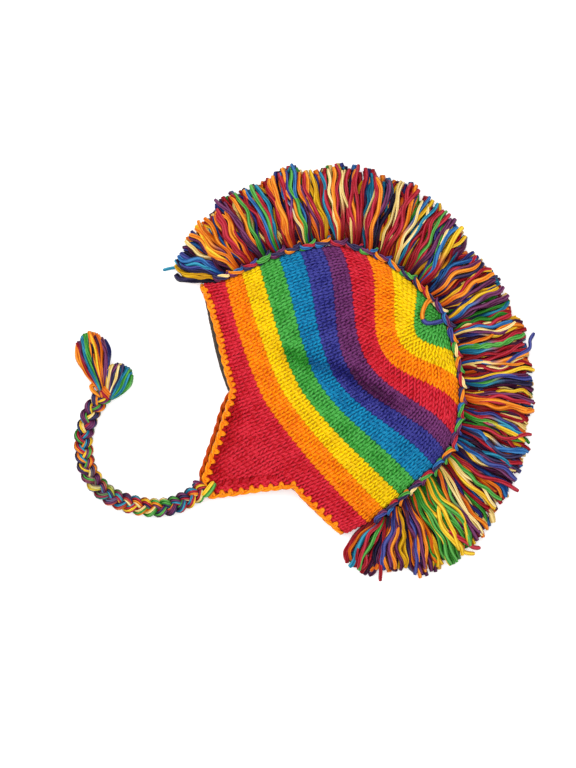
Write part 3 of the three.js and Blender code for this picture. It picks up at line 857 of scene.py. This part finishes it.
def add_tie(hand, lift):
    flat = smooth_run(np.concatenate([[TIE_START], TIE_ROUTE]), 2.0)
    path = np.column_stack([flat, np.full(len(flat), lift)])
    along, side = level_frame(path)
    runs, shades = plait_runs(path)
    colours = []
    while len(colours) < 2 * len(runs):
        colours += [MIXED[name][0] for name in rng.permutation(PLAIT_COLOURS)]
    tie = yarn_piece(
        f"tie_{hand}_plait", runs, PLAIT_YARN, mixed_wool,
        colours=list(zip(colours, colours[len(runs):])), shades=shades, replaces="tie_" + hand,
    )
    runs = []
    colours = []
    for root, tip, widths, names in TASSEL_BUNCHES:
        runs += bunch_runs(root, tip, widths, len(names), lift)
        colours += [MIXED[name][0] for name in names * len(TASSEL_LAYERS)]
    angle = np.linspace(0, TURN, 25)
    for turn, name in enumerate(WRAP_COLOURS):
        ring = path[-1] + np.outer(WRAP_STEP * turn - 1 + WRAP_CLIMB * angle, along[-1])
        ring += np.outer(WRAP_HALF[0] * np.cos(angle), side[-1])
        ring[:, 2] += WRAP_HALF[1] * np.sin(angle)
        runs.append(ring)
        colours.append(MIXED[name][0])
    runs.append(smooth_run(path[-1] + WRAP_END, 1.5))
    colours.append(MIXED[WRAP_COLOURS[-1]][0])
    # painted shade between the yarns, and varied tone
    shades = [np.full(len(run), rng.uniform(*TASSEL_SHADES)) for run in runs]
    tassel = yarn_piece(
        f"tassel_{hand}_yarn", runs, TASSEL_YARN, mixed_wool,
        colours=colours, shades=shades, replaces="tassel_" + hand,
    )


for hand, lift in TIE_LIFTS.items():
    add_tie(hand, lift)


# Crown: a round of interlocked loops for each row of stitches, over a felted backing

def stitch_wave(stitches):
    """A row of stocking stitch on the flat: shares along the row, reach up and down, lift and painted
    shade.
    """
    angle = np.arange(stitches * STITCH_POINTS) * TURN / STITCH_POINTS
    slack = np.repeat(rng.normal(0, 1, (3, stitches)), STITCH_POINTS, axis=1)
    slack *= np.array(STITCH_SLACK)[:, None]
    along = angle / TURN + LOOP_SWAY * np.sin(2 * angle) + slack[0]
    reach = -LOOP_REACH * np.cos(angle) * (1 + slack[1])
    front = (1 - np.cos(2 * angle)) / 2
    lift = LOOP_DEPTH * (2 * front - 1) - STITCH_SINK + slack[2]
    return along, reach, lift, np.interp(front, (0, 1), STITCH_SHADES)


def add_crown():
    for number, (colour, first, last, rounds) in enumerate(STRIPES):
        rise = (last - first) / rounds
        runs = []
        shades = []
        for level in first + (np.arange(rounds) + 0.5) * rise:
            stitches = RIM_STITCHES
            if number >= EVEN_STRIPES:
                ring = on_crown(level, np.linspace(0, 1, 200), 0)
                stitches = max(6, 2 * round(lengths_along(ring)[-1] / TOP_WALE / 2))
            along, reach, lift, shade = stitch_wave(stitches)
            high = np.minimum(level + rise * reach, TOP_LEVEL - 0.05)
            run = on_crown(high, along / stitches, lift)
            above = run[:, 2] > FOLD_HEIGHT
            runs.append(run)
            # painted shade: along the crease on the upper layer, on top of the loops' own
            shades.append(shade * (1 - CREASE_SHADE * above * crease_share(run[:, 0], run[:, 1])))
        yarn_piece(
            f"crown_stripe_{number + 1}_{colour}", runs, YARN_RADIUS, wools[colour],
            closed=True, shades=shades,
        )
    levels = np.linspace(0.02, TOP_LEVEL - 0.03, BACKING_ROUNDS)[:, None]
    around = np.linspace(0, 1, BACKING_COLUMNS, endpoint=False)[None]
    outer = on_crown(levels, around, -BACKING_OUT)
    inner = on_crown(levels, around, -BACKING_IN)[:BACKING_INNER_ROUNDS]
    starts = [first for _, first, _, _ in STRIPES]
    stripe = np.searchsorted(starts, levels[:, 0], side="right") - 1
    dyes = np.array([linear(WOOL[STRIPES[number][0]]) for number in stripe])
    dyes = np.repeat(dyes[:, None], BACKING_COLUMNS, 1)
    # the backing carries painted shade
    skin_piece(
        "crown_backing", np.concatenate([outer[::-1], inner]), mixed_wool,
        colours=np.concatenate([dyes[::-1], dyes[:BACKING_INNER_ROUNDS]]), shade=BACKING_SHADE,
        replaces="crown",
    )


add_crown()


# Ear flaps

def flap_edges(y):
    front = np.interp(-y, -FLAP_FRONT[:, 1], FLAP_FRONT[:, 0])
    back = np.interp(-y, -FLAP_BACK[:, 1], FLAP_BACK[:, 0])
    return front, back


def flap_fold(x, y):
    """How near points are to the soft fold along the back edge: 1 on it, and 0 well away from it."""
    inset = flap_edges(y)[1] - x
    below_rim = np.clip((FLAP_BACK[0, 1] - 8 - y) / 10, 0, 1)
    return np.exp(-((inset - FLAP_FOLD_INSET) / FLAP_FOLD_WIDTH) ** 2) * below_rim


def flap_top(x, y):
    """Height of the left flap's outer face."""
    high = rim_y(x)
    down = np.interp((high - y) / (high - FLAP_TIP_Y), FLAP_DOWN[:, 0], FLAP_DOWN[:, 1])
    return rim_z(x) + (FLAP_TIP_HEIGHT - rim_z(x)) * ease_both(down) - FLAP_FOLD_DEPTH * flap_fold(x, y)


def on_flap(x, y, lift, hand):
    """Points of a flap's outer face, lifted out of it."""
    x, y, lift = np.broadcast_arrays(np.asarray(x, float), y, lift)
    if hand == "right":
        return np.stack([x, y, -lift], -1) + RIGHT_FLAP_SHIFT
    step = 0.5
    slope_x = (flap_top(x + step, y) - flap_top(x - step, y)) / (2 * step)
    slope_y = (flap_top(x, y + step) - flap_top(x, y - step)) / (2 * step)
    out = unit(np.stack([-slope_x, -slope_y, np.ones_like(x)], -1))
    return np.stack([x, y, flap_top(x, y)], -1) + out * lift[..., None]


def add_flap(hand):
    wales = np.interp((np.arange(RIM_STITCHES // 2) + 0.5) / RIM_STITCHES, RIM_SHARES, RIM[:, 0])
    runs = []
    shades = []
    for row in range(FLAP_ROW_COUNT):
        along, reach, lift, shade = stitch_wave(len(wales))
        x = np.interp(along - 0.5, np.arange(len(wales)), wales)
        middle = rim_y(x) - (row + 0.3) * FLAP_ROW
        y = middle + reach * FLAP_ROW
        front, back = flap_edges(middle)
        kept = (x > front - FLAP_MARGIN) & (x < back + FLAP_MARGIN) & (y > FLAP_TIP_Y - FLAP_MARGIN)
        if kept.sum() < STITCH_POINTS:
            continue
        front, back = flap_edges(y)
        x = np.clip(x, front - FLAP_TRIM[0], back + FLAP_TRIM[1])
        runs.append(on_flap(x, y, lift, hand)[kept])
        edge = np.clip(1 - (x - front) / FLAP_EDGE_WIDTH, 0, 1)
        # painted shade along the fold and towards the front edge
        shade = shade * (1 - FLAP_FOLD_SHADE * flap_fold(x, y)) * (1 - FLAP_EDGE_SHADE * edge)
        shades.append(shade[kept])
    knit = yarn_piece(
        f"ear_flap_{hand}_knit", runs, YARN_RADIUS, wools["red"], shades=shades, end=1.0,
    )
    share = np.linspace(0, 1, 17)
    rings = []
    for down in np.linspace(0, 1, 21):
        front_y, back_y = [
            edge[0, 1] - 1 + (edge[-1, 1] - edge[0, 1] + 1) * down for edge in (FLAP_FRONT, FLAP_BACK)
        ]
        front = flap_edges(front_y)[0]
        back = flap_edges(back_y)[1]
        x = front + (back - front) * share
        y = front_y + (back_y - front_y) * share
        y += (rim_y(x) - 0.5 - y) * (1 - down) ** 3
        outer = on_flap(x, y, -BACKING_OUT, hand)
        inner = on_flap(x, y, -BACKING_IN, hand)
        rings.append(np.concatenate([outer, inner[::-1]]))
    rings = np.stack(rings)
    dyes = np.tile(linear(WOOL["red"]), rings.shape[:2] + (1,))
    # the backing carries painted shade
    cloth = skin_piece(
        f"ear_flap_{hand}_backing", rings, mixed_wool,
        colours=dyes, shade=BACKING_SHADE, replaces="ear_flap_" + hand,
    )


for hand in ("left", "right"):
    add_flap(hand)


# Border: a twisted chain along the rims and flaps, with short stitches that grip the knitting

def border_run(hand):
    """The middle of the border along one layer, from the front fold to the back fold."""
    def along_rim(from_x, to_x, count, clear):
        share = rim_share(np.linspace(from_x, to_x, count))
        share = share if hand == "left" else 1 - share
        edge = on_crown(0, share, -EDGING_DEPTH)
        inward = unit(on_crown(0.3, share, -EDGING_DEPTH) - edge)
        return edge - inward * clear

    def along_flap(table, sign, clear):
        y = np.linspace(table[0, 1] - 10, table[-1, 1], 7)
        x = np.interp(-y, -table[:, 1], table[:, 0])
        slope = unit(np.gradient(np.stack([x, y], 1), axis=0))
        run = on_flap(x, y, -EDGING_DEPTH, hand)
        run[:, 0] += sign * slope[:, 1] * clear
        run[:, 1] -= sign * slope[:, 0] * clear
        return run

    run = np.concatenate([
        along_rim(EDGING_ENDS[0], FLAP_FRONT[0, 0] - 5, 9, EDGING_CLEAR),
        along_flap(FLAP_FRONT, 1, EDGING_CLEAR),
        on_flap(*EDGING_TIP.T, -EDGING_DEPTH, hand),
        along_flap(FLAP_BACK, -1, EDGING_CLEAR_BACK)[::-1],
        along_rim(FLAP_BACK[0, 0] + 5, EDGING_ENDS[1], 8, EDGING_CLEAR_BACK),
    ])
    run[:, 2] = np.maximum(run[:, 2], EDGING_LOWEST)
    return run


def face_height(x, y):
    """Height of the outer face of the left layer, crown or flap."""
    if y < rim_y(x):
        return float(flap_top(np.array(x), np.array(y)))
    column = on_crown(np.linspace(0, 1, 21), rim_share(x), 0)
    return float(np.interp(y, column[:, 1], column[:, 2]))


def add_border():
    runs = {hand: border_run(hand) for hand in ("left", "right")}
    middle = smooth_run(np.concatenate([runs["left"], runs["right"][::-1]]), 1.4, closed=True)
    whole = lengths_along(np.concatenate([middle, middle[:1]]))
    along = unit(np.roll(middle, -1, 0) - np.roll(middle, 1, 0))
    side = unit(np.cross(along, UP))
    upward = np.cross(side, along)
    turns = round(whole[-1] / EDGING_PITCH)
    chain = []
    for ply in range(2):
        angle = TURN * (whole[:-1] / whole[-1] * turns + ply / 2)
        off = side * np.cos(angle)[:, None] + upward * np.sin(angle)[:, None]
        chain.append(middle + EDGING_OFF * off)
    # painted shade: the border darker where it runs low, on the far layer
    far_border_shade = np.interp(middle[:, 2], EDGING_SHADE_HEIGHTS, EDGING_SHADES)
    yarn_piece(
        "edging_chain", chain, EDGING_YARN, wools["border"],
        closed=True, shades=[far_border_shade, far_border_shade], replaces="edging",
    )
    teeth = []
    for hand, points in runs.items():
        run = smooth_run(points, 1.0)
        along, side = level_frame(run)
        at = 4
        while at < len(run) - 4:
            inward = -side[at]
            wide = int(run[at, 0] > FLAP_FRONT[0, 0])
            reach = TOOTH_REACHES[wide] + rng.normal(0, 0.4)
            tooth = []
            for share, far, rise in TOOTH_LOOP:
                point = run[at] + along[at] * share * TOOTH_SPREADS[wide] + inward * reach * far
                face = face_height(point[0], point[1]) if far == 1 else 0
                point[2] = max(point[2] + rise, face + 0.3)
                tooth.append(point)
            tooth = smooth_run(tooth, 1.1)
            tooth[:, 2] = np.maximum(tooth[:, 2], TOOTH_YARN) if hand == "left" else TOOTH_YARN
            teeth.append(tooth)
            at += TOOTH_STEPS[wide] + rng.integers(-1, 2)
    yarn_piece("edging_teeth", teeth, TOOTH_YARN, wools["border"])


add_border()


# Fleece band

def add_lining():
    around = np.linspace(0, 1, 240, endpoint=False)
    from_x, to_x, most = LINING_PEEK

    def ring(level, depth, peek=0):
        points = on_crown(level, around, -depth)
        upward = unit(on_crown(level + 0.2, around, -depth) - points)
        share = np.clip((points[:, 0] - from_x) / (to_x - from_x), 0, 1)
        reach = np.where(around > 0.5, most * np.sin(np.pi * share) ** 0.3, 0) + 0.5
        return points - upward * (reach * peek)[:, None]

    first = LINING_LEVELS[0]
    rings = [ring(first, LINING_NEAR, peek) for peek in (1, 0.5)]
    rings += [ring(level, LINING_NEAR) for level in LINING_LEVELS]
    rings += [ring(level, LINING_FAR) for level in reversed(LINING_LEVELS)]
    rings += [ring(first, LINING_FAR, peek) for peek in (0.5, 1)]
    rings = np.stack(rings) + rng.normal(0, FLEECE_ROUGH, (len(rings), len(around), 3))
    pile = fleece("brown fleece", FLEECE_COLOUR)
    return skin_piece("lining_fleece", rings, pile, closed=True, replaces="lining")


add_lining()


# Mohawk: locks of loose yarn knotted along the fold

def fold_line():
    """The fold from the forehead over the top to the nape."""
    front = np.arange(STRIP_FRONT, LAST_ROW, 1.0)
    back = np.append(np.arange(LAST_ROW - 0.5, STRIP_BACK, -1.0), STRIP_BACK)
    ahead = crown_outside(front, np.zeros_like(front))
    behind = crown_outside(back, np.full_like(back, 0.5))
    return smooth_run(np.concatenate([ahead, CROWN_TOP[None], behind]), 1.0)


FOLD = fold_line()
FOLD_ALONG, FOLD_SIDE = level_frame(FOLD)
FOLD_SHARES = lengths_along(FOLD) / lengths_along(FOLD)[-1]


def at_fold(share):
    """A place on the fold, the direction along it and the direction out from the crown."""
    def pick(table):
        return np.array([np.interp(share, FOLD_SHARES, column) for column in table.T])
    return pick(FOLD), pick(FOLD_ALONG), -pick(FOLD_SIDE)


def lock_strands(lock, root, tip):
    """Strands that wave together from a knot to their cut ends, a few straying across, and their painted
    shades.
    """
    reach = np.array([*(tip - root[:2]), 0])
    span = np.linalg.norm(reach) + LOCK_SWING * math.sin(lock * 2.4)
    ahead = unit(reach)
    side = np.cross(ahead, UP)
    way = np.linspace(0, 1, STRAND_POINTS)
    shares, *sizes = LOCK_SECTIONS.T
    width, thick, height = [np.interp(way, shares, size) for size in sizes]
    lean = rng.normal(0, LOCK_LEAN) * (0 < lock < LOCK_COUNT - 1) * way ** 1.3
    bend = rng.uniform(*LOCK_BENDS)
    waves = rng.uniform(*LOCK_WAVES)
    phase = lock * 0.9 + rng.normal(0, 0.5)
    pinch = 0.55 + 0.45 * np.clip(way / 0.3, 0, 1)
    runs = []
    shades = []
    for count, layer, reach_out, root_shade in LOCK_LAYERS:
        on_top = layer > 0
        for across in np.linspace(-1, 1, count):
            high = layer * math.sqrt(1.05 - across ** 2) + rng.normal(0, 0.12)
            wave = TURN * way * (waves + rng.normal(0, 0.1)) + phase + rng.normal(0, 0.4)
            sway = bend * rng.uniform(*STRAND_SWAYS) * way ** 0.6 * np.sin(wave)
            heave = rng.uniform(*STRAND_HEAVES) * way * np.sin(wave + rng.uniform(0, TURN))
            kinks = TURN * (way * rng.uniform(*STRAND_KINKS) + rng.uniform())
            sway += rng.uniform(*KINK_SIZES) * np.clip(3 * way, 0, 1) * np.sin(kinks)
            wander = STRAY_FAR if rng.uniform() < STRAY_SHARE else STRAY_NEAR
            stray = rng.normal(0, wander) * way ** 1.5
            length = span * (rng.uniform(*STRAND_LENGTHS) - STRAND_ROUNDING * across ** 2)
            run = root + np.outer(way * length - 2 * (1 - way), ahead)
            fan = across * reach_out * width * (pinch if on_top else 1)
            loose = (layer + 1.2) / 2
            run += np.outer(fan + loose * (sway + stray + lean), side)
            floor_gap = STRAND_RADIUS * (1 if layer >= 0 else UNDER_WIDTH)
            run[:, 2] = np.maximum(height + high * (thick - 1.4) + heave, floor_gap)
            runs.append(run)
            # painted shade: darkest at the roots, darker at a lock's sides and on the lower layers
            lit = 1.0 - 0.4 * across ** 2 if on_top else 0.7
            lit_share = np.clip(way / (0.4 if on_top else 0.7), 0, 1)
            shades.append(root_shade + (lit - root_shade) * lit_share)
    return runs, shades


def neighbour_colours(count, names):
    """Pairs of colours for yarns on their own or beside their like, as the doubled yarns of a knot have."""
    if names:
        return [(MIXED[name][0], MIXED[name][0]) for name in np.resize(names, count)]
    colours = []
    while len(colours) < count:
        colour = pick_colours(1)[0]
        other = pick_colours(1)[0] if rng.uniform() < TWO_TONE else colour
        alike = colour != MIXED["cream"][0] and rng.uniform() < DOUBLED
        colours += [(colour, other)] * (1 + alike)
    return colours[:count]


def knot_bars(place, along, out):
    """The bights of a knot: three yarns twisted along the fold, on the upper and under sides."""
    bars = []
    way = np.linspace(-1, 1, 15)
    dive = KNOT_DIVE * np.clip((np.abs(way) - 0.5) / 0.5, 0, 1) ** 2
    for face in (1, -1):
        tilt = rng.normal(0.12, 0.1)
        start = rng.uniform(0, TURN)
        for yarn in range(3):
            angle = start + way * KNOT_TWIST + yarn * TURN / 3
            outward = KNOT_OUT + tilt * KNOT_HALF * way + KNOT_ROUND[0] * np.cos(angle) + dive
            run = place + np.outer(KNOT_HALF * way, along) + np.outer(outward, out)
            run[:, 2] += face * (KNOT_HEIGHT + KNOT_ROUND[1] * np.sin(angle) - dive)
            bars.append(run)
    return bars


def add_mohawk():
    rows = np.arange(len(FRINGE_TIPS))
    strands = []
    shades = []
    colours = []
    bars = []
    for lock in range(LOCK_COUNT):
        share = lock / (LOCK_COUNT - 1)
        place, along, out = at_fold(LOCK_MARGIN + (1 - 2 * LOCK_MARGIN) * share)
        tip = catmull(FRINGE_TIPS[:, 1:], np.interp(share, FRINGE_TIPS[:, 0], rows)[None])[0]
        # the strands' painted shades
        runs, dark = lock_strands(lock, place + out * STRIP_OFF, tip)
        strands += runs
        shades += dark
        colours += neighbour_colours(len(runs), SET_LOCKS.get(lock))
        bars += knot_bars(place, along, out)
    is_cream = np.array([pair[0] == MIXED["cream"][0] for pair in colours])
    widths = np.where(is_cream, CREAM_WIDTH, rng.uniform(*STRAND_WIDTHS, len(colours)))
    is_under = np.concatenate([np.full(row[0], row[1] < 0) for row in LOCK_LAYERS])
    widths[np.tile(is_under, LOCK_COUNT)] = UNDER_WIDTH
    yarn_piece(
        "mohawk_strands", strands, STRAND_RADIUS, mixed_wool,
        colours=colours, shades=shades, widths=widths, end=0.8, replaces="mohawk_fringe",
    )
    knot_dyes = pick_colours(len(bars), KNOT_COLOURS)
    yarn_piece("mohawk_knots", bars, KNOT_YARN, mixed_wool, colours=knot_dyes)


add_mohawk()


# Loose yarns

def on_upper_layer(points, lift):
    """Places over points of the crown, lifted out of its upper layer."""
    layer = CROWN_GRID[:, :LAYER_STEPS].reshape(-1, 3)
    near = [np.argmin(np.sum((layer[:, :2] - point) ** 2, -1)) for point in points]
    return np.column_stack([points, layer[near, 2] + lift])


def add_loose_yarns():
    rows = [(name, width, smooth_run(points, step)) for name, width, step, points in LOOSE_ROUTES]
    for name, points in TOP_LOOP:
        run = smooth_run(on_upper_layer(points, TOP_LOOP_LIFT), TOP_LOOP_STEP)
        rows.append((name, TOP_LOOP_WIDTH, run))
    names, widths, runs = zip(*rows)
    colours = [MIXED[name][0] for name in names]
    yarn_piece("loose_yarns", runs, LOOSE_YARN, mixed_wool, colours=colours, widths=widths)


add_loose_yarns()


# Stage and light

def add_stage():
    """White paper that glows faintly, painted light that pales the shadows on it, an even white sky, and
    one large soft lamp nearly overhead.
    """
    mesh = bpy.data.meshes.new("floor")
    corners = [(x * FLOOR_HALF, y * FLOOR_HALF, 0) for x, y in ((-1, -1), (1, -1), (1, 1), (-1, 1))]
    mesh.from_pydata(corners, [], [(0, 1, 2, 3)])
    paper, tree, shader = cloth_shader("white paper", roughness=1.0, specular=0.0, sheen=0.0)
    # the paper's glow is painted light
    set_inputs(tree, shader, {
        "Base Color": linear(FLOOR_COLOUR), "Emission Color": WHITE, "Emission Strength": FLOOR_GLOW,
    })
    mesh.materials.append(paper)
    put_in_scene("floor", mesh)

    world = bpy.data.worlds.new("studio")
    world.use_nodes = True
    sky = world.node_tree.nodes["Background"]
    set_inputs(world.node_tree, sky, {"Color": WHITE, "Strength": SKY_LIGHT})
    scene.world = world
    window = bpy.data.lights.new("window", "AREA")
    window.shape = "DISK"
    window.size = WINDOW_SIZE
    window.energy = WINDOW_POWER
    lamp = put_in_scene("window", window)
    lamp.location = WINDOW_PLACE
    lamp.rotation_euler = (-lamp.location).to_track_quat("-Z", "Y").to_euler()
    scene.view_settings.view_transform = "Standard"


add_stage()
